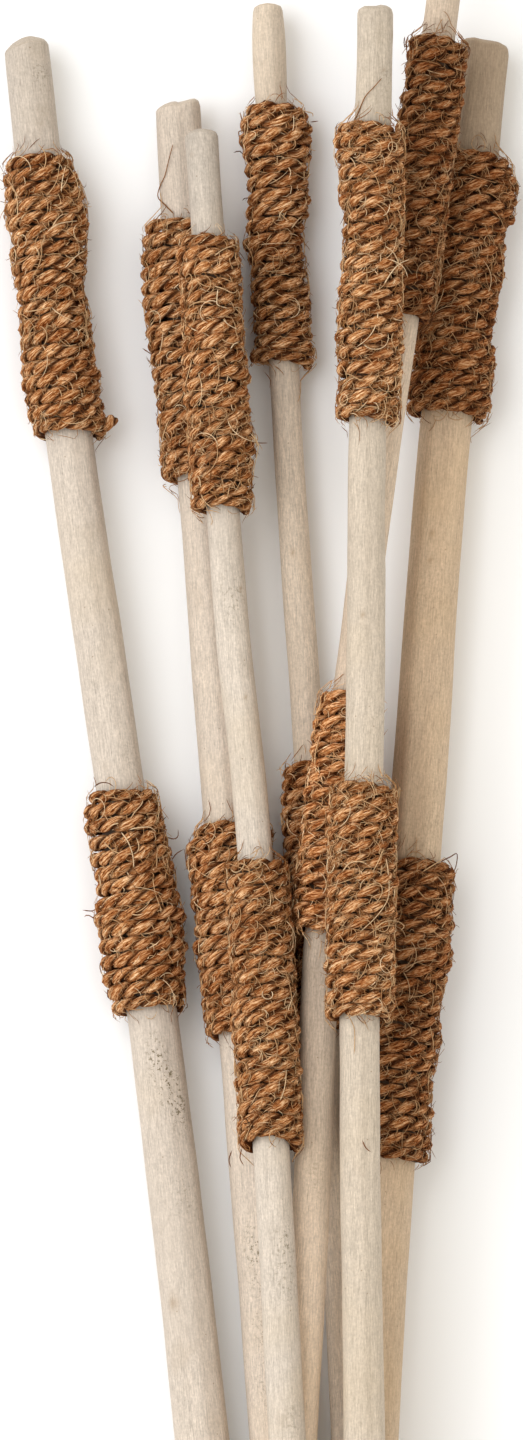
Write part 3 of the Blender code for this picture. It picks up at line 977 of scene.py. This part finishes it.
def addRope(wrap, look, seed):
    rng = np.random.default_rng(seed)
    points, faces, values = meshStrands(wrap["strands"], look, rng)
    # how far each point stands out from the stick, as a share of the rope's thickness, from which shade is
    # painted deep between the turns
    axis = lineAt(sticks[wrap["letter"]], points[:, 1])
    far = np.hypot(points[:, 0] - axis[:, 0], points[:, 2] - axis[:, 1])
    rowSize = np.repeat(np.tile(wrap["strands"]["size"], look["strands"]), look["sides"])
    rowSize = np.concatenate([rowSize, np.full(2 * look["strands"], look["tip"])])
    values[:, 3] = (far - axis[:, 2] - look["gap"]) / (look["thick"] * rowSize)
    # the wrap's painted light and shade
    values[:, 4] = wrapLook[wrap["node"]]["shade"]
    points[:, 2] = np.maximum(points[:, 2], look["floor"])
    parts = [(points, faces, values)]
    if wrap["node"] in ropeTails:
        parts.append(addTail(ropeTails[wrap["node"]], look, rng))
    piece = addStrands(wrap["node"].replace("wrap", "rope"), parts, ropeMaterial)
    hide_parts(wrap["node"])


for letter in letters:
    addStick(letter)
print("sticks carved")

wrapNodes = [f"{part}_wrap_{letter}" for part in ("lower", "upper") for letter in letters]
wraps = [windRope(node, node[-1], ropeShape, 200 + index) for index, node in enumerate(wrapNodes)]
for index, wrap in enumerate(wraps):
    addRope(wrap, ropeShape, 300 + index)
print("rope wound on", len(wraps), "wraps")


# Loose fibres. Lengths are in millimetres, and each is a number for a square millimetre of the wrap. Lying
# ones follow the strands. The others start anywhere on the wrap and keep a heading of their own

fibreShape = {
    "lying": {"each": 0.125, "rows": 4, "length": (4, 11), "slant": (0.3, 0.6), "curl": 0.9,
              "base": 0.02, "rise": (0.0, 1.3), "thick": (0.17, 0.32), "tone": (0.0, 1.0),
              "spare": 2.2, "outer": 0.25},  # drawn for each one kept, and the least that one faces out
    "cross": {"each": 0.096, "rows": 5, "length": (4, 12), "heading": (15, 50), "curl": 2.2,
              "base": -0.6, "lift": (0.0, 0.5), "power": 0.0, "thick": (0.16, 0.29), "tone": (0.25, 1.0)},
    "loop": {"each": 0.006, "rows": 12, "length": (8, 24), "heading": (0, 70), "curl": 3.2,
             "base": -0.2, "lift": (0.0, 0.7), "power": 0.0, "thick": (0.22, 0.32), "tone": (0.75, 1.0)},
    "stray": {"each": 0.022, "rows": 5, "length": (3, 8), "heading": (0, 60), "curl": 2.2,
              "base": -1.0, "lift": (0.5, 4.0), "power": 1.0, "thick": (0.14, 0.24), "tone": (0.1, 0.95)},
}
fibreEnd = {
    "floor": 0.3,  # lowest that a fibre's middle lies
    "fall": 1.1,  # how steeply it comes down past the wrap's end, and how far off the stick it stays
    "least": 0.5,
    "thin": 0.4,  # share of its thickness that it loses along its way
}


def makeFibreMaterial():
    # look is a fibre's tone, from the darkest fibre to the palest, and its rope's painted light and shade
    material, tree, shader = startMaterial("jute_fibre")
    look = partsOf(tree, "look")
    colour = addRamp(
        tree, look["X"],
        [(0.0, (0.045, 0.016, 0.006)), (0.25, (0.17, 0.052, 0.012)), (0.6, (0.40, 0.187, 0.066)),
         (0.92, (0.70, 0.46, 0.245)), (1.0, (0.90, 0.69, 0.44))],
    )
    shade = mapRange(tree, noiseOf(tree, placeOf(tree), 600.0, 2.0), 0.3, 0.7, 0.7, 1.15)
    # random patches of tone, times the wrap's painted light and shade, made redder where darker
    colour = scaleColour(tree, colour, multiply(tree, shade, look["Y"]))
    colour = useGroup(tree, shadeRedderGroup, {"Color": colour, "Shade": look["Y"]})["Color"]
    fill(tree, shader, {"Base Color": colour, "Roughness": 0.7, "Specular IOR Level": 0.12})
    return material


fibreMaterial = makeFibreMaterial()


def threadAlong(path, up, thick, tone):
    # thin three-sided threads along the paths, which come to a point at both ends
    lift, side = frameAlong(path, up)
    ring = ringsAlong(path, lift, side, thick, thick, 3)[:, 1:-1]
    points, faces = closeTubes(ring, path[:, 0], path[:, -1])
    return points, faces, np.concatenate([np.repeat(tone, ring.shape[1] * 3), tone, tone])


def addFibres(name, parts, shade):
    # shade is the painted light and shade of the fibres' wrap, 1 for none
    points, faces, tone = joinParts(parts)
    shades = np.full(len(points), shade)
    look = np.column_stack([tone, shades, shades])
    addPiece(name, points, faces, fibreMaterial, [("look", look)])


def wrapArea(wrap):
    # the wrap's outer radius halfway along, and its surface
    middle = np.array([(wrap["low"] + wrap["high"]) / 2])
    radius = lineAt(sticks[wrap["letter"]], middle)[0, 2] + ropeShape["thick"]
    return radius, fullTurn * radius * (wrap["high"] - wrap["low"])


def keepShare(height):
    # share of the fibres kept: all on top, fewer at the sides and fewest below, where the bunch lies
    return np.interp(height, [-1, -0.3, 0.4], [0.3, 0.4, 1.0])


def between(grid, which, first, part):
    # values of a strand's rows at a place between two of them: row (1 - part) + next row part
    part = part.reshape(part.shape + (1,) * (grid.ndim - 2))
    return grid[which, first] * (1 - part) + grid[which, first + 1] * part


def layFibres(wrap, look, rng):
    # each fibre runs along a strand with a slant round it, just off its surface, and its far end rises
    strands = wrap["strands"]
    count = int(look["each"] * wrapArea(wrap)[1] * look["spare"])
    rows = strands["path"].shape[1]
    spacing = strands["travel"][-1] / (rows - 1)
    tau = np.linspace(0, 1, look["rows"])
    which = rng.integers(0, len(strands["path"]), count)[:, None]
    slant = rng.normal(*look["slant"], count)[:, None] + rng.normal(0, look["curl"], count)[:, None] * tau
    reach = rng.uniform(*look["length"], count)[:, None] * rng.choice([-1, 1], count)[:, None]
    step = tau * reach
    row = np.clip(rng.uniform(0, rows - 1, count)[:, None] + step * np.cos(slant) / spacing, 0, rows - 1.001)
    turn = rng.uniform(0, fullTurn, count)[:, None] + step * np.sin(slant) / ropeShape["strandWide"]
    first = row.astype(int)
    path, lift, side, tall, wide = (
        between(strands[k], which, first, row - first) for k in ("path", "lift", "side", "tall", "wide")
    )
    over = look["base"] + rng.uniform(*look["rise"], count)[:, None] * tau**3
    normal = np.cos(turn)[..., None] * lift + np.sin(turn)[..., None] * side
    path = path + (np.cos(turn) * (tall + over))[..., None] * lift
    path = path + (np.sin(turn) * (wide + over))[..., None] * side
    # only those on the outside of the rope are kept
    axis = lineAt(sticks[wrap["letter"]], path[:, 1, 1])
    out = np.stack([path[:, 1, 0] - axis[:, 0], np.zeros(count), path[:, 1, 2] - axis[:, 1]], -1)
    seen = (normal[:, 1] * unit(out)).sum(-1) > look["outer"]
    seen = (seen & (rng.uniform(0, 1, count) < keepShare(unit(out)[:, 2]))).nonzero()[0]
    path[..., 2] = np.maximum(path[..., 2], fibreEnd["floor"])
    thick = rng.uniform(*look["thick"], count)[:, None] * np.ones(look["rows"])
    tone = rng.uniform(*look["tone"], count)
    return threadAlong(path[seen], normal[seen], thick[seen], tone[seen])


def strewFibres(wrap, look, fuzz, rng):
    # each fibre starts somewhere on the wrap, keeps a heading that curls steadily, and lifts off the rope:
    # towards its end where power is given, or in its middle where it is nothing
    stick = sticks[wrap["letter"]]
    radius, area = wrapArea(wrap)
    count, rows = int(look["each"] * fuzz * area), look["rows"]
    tau = np.linspace(0, 1, rows)
    angle = rng.uniform(0, fullTurn, count)
    angle = angle[rng.uniform(0, 1, count) < keepShare(np.sin(angle))][:, None]
    count = len(angle)
    start = rng.uniform(wrap["low"] - 1, wrap["high"] + 1, count)[:, None]
    heading = np.radians(rng.normal(*look["heading"], count))[:, None]
    heading = heading + rng.normal(0, look["curl"], count)[:, None] * tau
    step = rng.uniform(*look["length"], count)[:, None] / (rows - 1)
    along = start + np.cumsum(np.sin(heading), axis=1) * step
    angle = angle - np.cumsum(np.cos(heading), axis=1) * step / radius
    lift = rng.uniform(*look["lift"], count)[:, None]
    shape = tau ** look["power"] if look["power"] else np.sin(np.pi * tau)
    proud = ropeShape["thick"] + ropeShape["gap"] + look["base"] + lift * shape
    # a fibre that runs past the wrap's end comes down towards the stick
    past = np.abs(along - np.clip(along, wrap["low"], wrap["high"]))
    along += leanAt(wrap["node"], (along - wrap["low"]) / (wrap["high"] - wrap["low"]), angle)
    proud += outlineAt(wrap["node"], along, angle)
    proud = np.maximum(proud - fibreEnd["fall"] * past, fibreEnd["least"])
    path, out = around(stick, along, angle, proud)[:2]
    path[..., 2] = np.maximum(path[..., 2], fibreEnd["floor"])
    thick = rng.uniform(*look["thick"], count)[:, None] * (1 - fibreEnd["thin"] * tau)
    return threadAlong(path, out, thick, rng.uniform(*look["tone"], count))


for index, wrap in enumerate(wraps):
    rng = np.random.default_rng(400 + index)
    look = wrapLook[wrap["node"]]
    parts = [layFibres(wrap, fibreShape["lying"], rng)]
    for kind, fuzz in (("cross", look["fuzz"]), ("loop", look["fuzz"]), ("stray", 1.0)):
        parts.append(strewFibres(wrap, fibreShape[kind], fuzz, rng))
    addFibres(wrap["node"].replace("wrap", "fibres"), parts, look["shade"])
print("fibres strewn")


# Long hairs as the photo shows them, by stick and by whether they lie on rope or wood: the tone of each,
# then its places in the picture, across and down

longHairs = {
    ("a", "rope"): [
        (0.95, 143, 800, 141, 805, 134, 813, 130, 820),
        (1.0, 129, 830, 136, 828, 148, 827, 153, 829, 156, 832),
        (1.0, 121, 832, 127, 840, 131, 849, 133, 857, 134, 869),
        (0.95, 136, 837, 139, 846, 137, 852, 133, 854),
        (0.9, 103, 841, 112, 850, 122, 854, 130, 854, 133, 855), (0.9, 112, 833, 109, 842),
        (0.85, 156, 852, 157, 860, 156, 869), (0.85, 166, 857, 168, 865, 166, 873, 165, 879),
        (0.9, 146, 872, 141, 878, 134, 884), (1.0, 98, 908, 107, 904, 117, 898),
        (0.95, 131, 914, 137, 915, 145, 913, 155, 907),
        (0.9, 155, 912, 162, 910, 167, 915, 170, 922, 171, 932, 170, 946, 163, 954, 159, 960),
        (0.3, 82, 910, 92, 911, 97, 908), (0.35, 84, 917, 88, 915, 95, 919, 99, 921),
        (0.3, 166, 837, 174, 839, 178, 836, 178, 829), (0.1, 161, 822, 164, 819, 167, 816),
        (0.3, 172, 860, 176, 854, 184, 849), (0.3, 103, 958, 100, 965, 101, 972, 105, 980),
        (0.15, 94, 787, 100, 783, 108, 783, 114, 787), (0.95, 52, 227, 58, 218, 65, 214, 76, 216),
        (1.0, 47, 232, 56, 225, 67, 222, 80, 221, 88, 223), (1.0, 65, 268, 72, 260, 79, 254, 86, 250),
        (0.9, 67, 268, 75, 272, 83, 271, 88, 267), (0.95, 53, 205, 61, 205),
        (0.95, 60, 190, 65, 184, 68, 177), (0.95, 34, 245, 38, 251, 39, 258),
        (0.9, 10, 185, 16, 193, 20, 200), (0.9, 24, 312, 38, 310, 52, 307),
        (0.05, 70, 405, 78, 403, 86, 407), (0.2, 72, 408, 80, 406, 90, 409),
        (0.1, 74, 411, 82, 412, 88, 406), (0.3, 76, 404, 80, 411, 84, 416),
        (0.0, 69, 410, 76, 413, 85, 411), (0.1, 80, 402, 83, 409, 82, 415),
        (0.25, 73, 406, 81, 409, 89, 414), (0.05, 78, 413, 86, 410, 91, 403),
    ],
    ("b", "wood"): [
        (0.45, 174, 214, 165, 205, 158, 197, 160, 186, 165, 175, 170, 155, 173, 144),
    ],
    ("b", "rope"): [
        (0.1, 155, 247, 160, 241, 162, 238, 158, 251, 166, 249, 174, 247),
        (0.95, 166, 280, 172, 283, 178, 286), (0.95, 164, 329, 170, 332, 178, 331),
        (0.3, 152, 223, 154, 227, 156, 231), (0.3, 142, 348, 148, 352, 154, 356),
    ],
    ("c", "rope"): [
        (1.0, 218, 288, 217, 299, 218, 305, 230, 309), (0.95, 214, 286, 224, 289, 233, 293, 239, 289),
        (0.95, 214, 256, 224, 249, 235, 245), (1.0, 188, 325, 194, 330, 198, 330),
        (1.0, 223, 319, 229, 325, 239, 330), (1.0, 230, 350, 234, 344, 241, 341),
        (0.3, 250, 442, 260, 443, 268, 443),
    ],
    ("c", "wood"): [
        (0.2, 232, 1150, 229, 1160, 231, 1168), (0.3, 242, 1148, 240, 1158, 244, 1166),
    ],
    ("d", "rope"): [
        (0.3, 240, 111, 242, 120, 245, 123), (0.35, 251, 130, 240, 131, 239, 135, 242, 145, 248, 156),
        (0.1, 233, 153, 239, 151, 243, 154, 246, 158),
        (0.9, 297, 124, 296, 118, 303, 112, 312, 113, 313, 117), (0.3, 310, 122, 319, 121),
        (1.0, 285, 145, 290, 138, 297, 131, 309, 125), (1.0, 297, 144, 305, 140, 311, 134),
        (1.0, 279, 219, 281, 212, 288, 206, 292, 199), (0.95, 291, 229, 297, 221, 303, 215),
        (0.1, 242, 201, 245, 198, 249, 199),
    ],
    ("e", "wood"): [
        (0.42, 351, 126, 358, 113, 365, 97, 374, 87, 382, 78), (0.3, 362, 1140, 366, 1148, 371, 1152),
    ],
    ("e", "rope"): [
        (1.0, 388, 259, 396, 262, 404, 268, 408, 278), (1.0, 384, 284, 391, 273, 399, 264, 410, 259),
        (0.95, 385, 246, 393, 252, 398, 262, 399, 270),
        (0.95, 386, 858, 388, 872, 389, 890, 386, 903, 375, 918, 360, 932),
        (0.95, 342, 872, 350, 863, 362, 862, 372, 868), (0.9, 384, 848, 378, 862, 372, 873),
        (0.9, 362, 892, 372, 884, 380, 884, 382, 893, 375, 905),
        (0.9, 374, 930, 384, 922, 396, 921, 404, 926, 400, 931),
    ],
    ("f", "rope"): [
        (0.3, 457, 34, 465, 43, 470, 49, 468, 60), (0.2, 405, 36, 404, 42, 405, 49),
    ],
    ("g", "rope"): [
        (0.2, 440, 862, 450, 857, 457, 854, 456, 866, 452, 875), (0.9, 422, 872, 435, 864, 446, 857),
        (0.8, 416, 888, 424, 897, 430, 899, 444, 898), (0.8, 426, 926, 438, 935, 450, 945),
    ],
}
hairShape = {"spacing": 1.2, "rows": 4, "thick": 0.36, "thin": 0.4, "over": 0.5, "floor": 0.5}


def drawHair(letter, kind, tone, places):
    # a smooth curve through the places, laid over the round of the rope or the wood
    line = lineThrough(places)
    length = lengthOf(line["rows"]) * photo["scale"]
    t = np.linspace(0, len(places) - 1, max(int(length / hairShape["spacing"]), hairShape["rows"]))
    place = lineAt(line, t)
    across, along = fromPhoto(place, sticks[letter]["rows"][:, 1].mean())
    axis = lineAt(sticks[letter], along)
    rope = ropeShape["gap"] + ropeShape["thick"] if kind == "rope" else 0.0
    radius = axis[:, 2] + rope + hairShape["over"]
    height = axis[:, 1] + np.sqrt(np.maximum(radius**2 - (across - axis[:, 0]) ** 2, 0))
    across, along = fromPhoto(place, height)
    path = np.column_stack([across, along, np.maximum(height, hairShape["floor"])])[None]
    thick = hairShape["thick"] * (1 - hairShape["thin"] * t / t[-1])
    return threadAlong(path, np.broadcast_to([0.0, 0.0, 1.0], path.shape), thick[None], np.array([tone]))


drawn = [
    drawHair(*where, tone, np.reshape(places, (-1, 2)))
    for where, hairs in longHairs.items()
    for tone, *places in hairs
]
addFibres("long_hairs", drawn, 1.0)
print("long hairs drawn:", len(drawn))


# Twine tie

twineShape = {
    "thick": 3.0,
    "gap": 0.3,
    "strands": 2,
    "lay": 6.4,
    "perLay": 7,
    "sides": 6,
    "strandOut": 0.72,
    "strandBeside": 0.8,
    "strandTall": 0.82,
    "strandWide": 0.98,
    "swell": 0.12,
    "rough": 0.08,
    "fibreSlant": 0.5,
    "fibreStretch": 0.35,
    "endFacing": 1.0,
    "perTurn": 240,  # points for each turn round the bunch
    "knotSize": 2.3,  # a third of the knot's radius
    "knotFlat": 0.75,
    "knotRise": 1.5,
    "knotGap": 0.25,  # angle left open at each end of the knot
    "knotRows": 90,
    "knotStep": 6,  # every sixth row of the knot steers the line, which is then drawn with more
    "lineRows": 400,
    # the knot's two ends, from its middle: across, along and up
    "tails": [
        [(-15, -27, -13), (-15, -20, -9), (-11, -14, -4), (-5, -9, -0.6)],
        [(6, -9, -0.2), (12, -13, -3), (17, -21, -9), (17, -32, -15), (19, -38, -19)],
    ],
}
# the twine's colours, as the rope's: gap is the painted shade between its strands
twineTint = {
    "fibres": [(0.1, (0.11, 0.045, 0.018)), (0.36, (0.36, 0.18, 0.075)), (0.6, (0.56, 0.33, 0.155)),
               (0.9, (0.86, 0.62, 0.36))],
    "deep": (0.7, 0.6, 0.52),
    "gap": (0.05, 0.022, 0.01),
    "grime": (0.07, 0.055, 0.035),
}
twineMaterial = makeRopeMaterial("jute_twine", twineTint)


def resample(points, spacing):
    # the same line with points a steady distance apart
    travel = travelAlong(points)
    even = np.linspace(0, travel[-1], max(int(travel[-1] / spacing), 6))
    return np.column_stack([np.interp(even, travel, column) for column in points.T])


def windTie(look):
    # in each direction the twine goes round the stick that reaches furthest that way: its middle lies at
    # centre + direction (radius + gap + half its thickness), and it moves on one thickness each turn
    low, high = spanOf("twine_tie")
    turns = round((high - low) / look["thick"])
    direction = np.pi / 2 + np.linspace(0, fullTurn * turns, look["perTurn"] * turns)
    along = np.linspace(low + look["thick"] / 2, high - look["thick"] / 2, len(direction))
    out = np.column_stack([np.cos(direction), np.sin(direction)])
    rows = np.stack([lineAt(stick, along) for stick in sticks.values()])
    reach = (rows[..., :2] * out).sum(-1) + rows[..., 2]
    furthest = rows[reach.argmax(0), np.arange(len(along))]
    line = furthest[:, :2] + out * (furthest[:, 2] + look["gap"] + look["thick"] / 2)[:, None]
    return np.column_stack([line[:, 0], along, line[:, 1]])


def tieKnot(look):
    # an overhand knot, sin t + 2 sin 2t across, cos t - 2 cos 2t along and -flat sin 3t up. It is opened at
    # t = pi, where its two ends lead off
    middle = sum(spanOf("twine_tie")) / 2
    top = lineAt(sticks["e"], np.array([middle]))[0]
    height = top[1] + top[2] + look["gap"] + look["thick"] + look["knotRise"]
    t = np.linspace(np.pi + look["knotGap"], 3 * np.pi - look["knotGap"], look["knotRows"])
    knot = look["knotSize"] * np.column_stack(
        [np.sin(t) + 2 * np.sin(2 * t), np.cos(t) - 2 * np.cos(2 * t), -look["knotFlat"] * np.sin(3 * t)]
    )
    first, last = look["tails"]
    places = np.concatenate([first, knot[:: look["knotStep"]], last])
    steps = np.linspace(0, len(places) - 1, look["lineRows"])
    return lineAt(lineThrough(places), steps) + [top[0], middle, height]


def layTwine(line, look, rng):
    # two strands twisted along the line, with their skin and what the material reads. They start out square
    # to the twine and to a direction near +Y
    centre = resample(line, look["lay"] / look["perLay"])
    ahead = unit(np.gradient(centre, axis=0))
    side = unit(np.cross(ahead, [0.0, 1.0, 0.1]))
    lays, size = lengthOf(centre) / look["lay"], np.ones(len(centre))
    return meshStrands(layStrands(centre, side, np.cross(ahead, side), lays, size, look, rng), look, rng)


rng = np.random.default_rng(500)
twineLines = (windTie(twineShape), tieKnot(twineShape))
parts = [layTwine(line, twineShape, rng) for line in twineLines]
tie = addStrands("tie_twine", parts, twineMaterial)
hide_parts("twine_tie")
print("twine tied")


# Camera, light and floor

def setCamera():
    # straight above the bunch, as far off and with as long a lens as the flat look of the photo asks
    data = bpy.data.cameras.new("camera")
    camera = addObject("camera", data)
    across, along = photo["middle"]
    camera.location = (across * mm, along * mm, photo["away"] + photo["level"] * mm)
    data.lens = data.sensor_width * photo["away"] / (photo["high"] * photo["scale"] * mm)
    data.clip_end = 40
    bpy.context.scene.camera = camera


def addLight(name, spot, size, power, colour):
    # a square soft light at a place in metres, turned to the middle of the bunch
    data = bpy.data.lights.new(name, "AREA")
    data.shape, data.size, data.energy, data.color = "SQUARE", size, power, colour
    lamp = addObject(name, data)
    lamp.location = spot
    aim = np.array([0.0, 0.1, 0.03]) - spot
    lamp.rotation_euler = Vector(aim).to_track_quat("-Z", "Y").to_euler()
    lamp.visible_camera = False


def addFloor():
    half = 6.0  # metres
    mesh = bpy.data.meshes.new("floor")
    corners = [(-half, -half, 0), (half, -half, 0), (half, half, 0), (-half, half, 0)]
    mesh.from_pydata(corners, [], [(0, 1, 2, 3)])
    material, tree, shader = startMaterial("paper")
    fill(tree, shader, {"Base Color": (0.93, 0.94, 0.95, 1), "Roughness": 0.9, "Specular IOR Level": 0.1})
    mesh.materials.append(material)
    floor = addObject("floor", mesh)


setCamera()
addLight("key", (-3.1, 1.6, 4.6), 5.5, 255, (0.965, 0.99, 1.04))
addLight("fill", (2.0, -0.5, 5.0), 3.0, 30, (1.0, 0.97, 0.92))
addFloor()
world = bpy.data.worlds.new("studio")
world.use_nodes = True
sky = world.node_tree.nodes["Background"].inputs
fill(world.node_tree, sky, {"Color": (1, 0.955, 0.875, 1), "Strength": 0.82})
bpy.context.scene.world = world
bpy.context.scene.view_settings.view_transform = "Standard"
print("camera and light set")
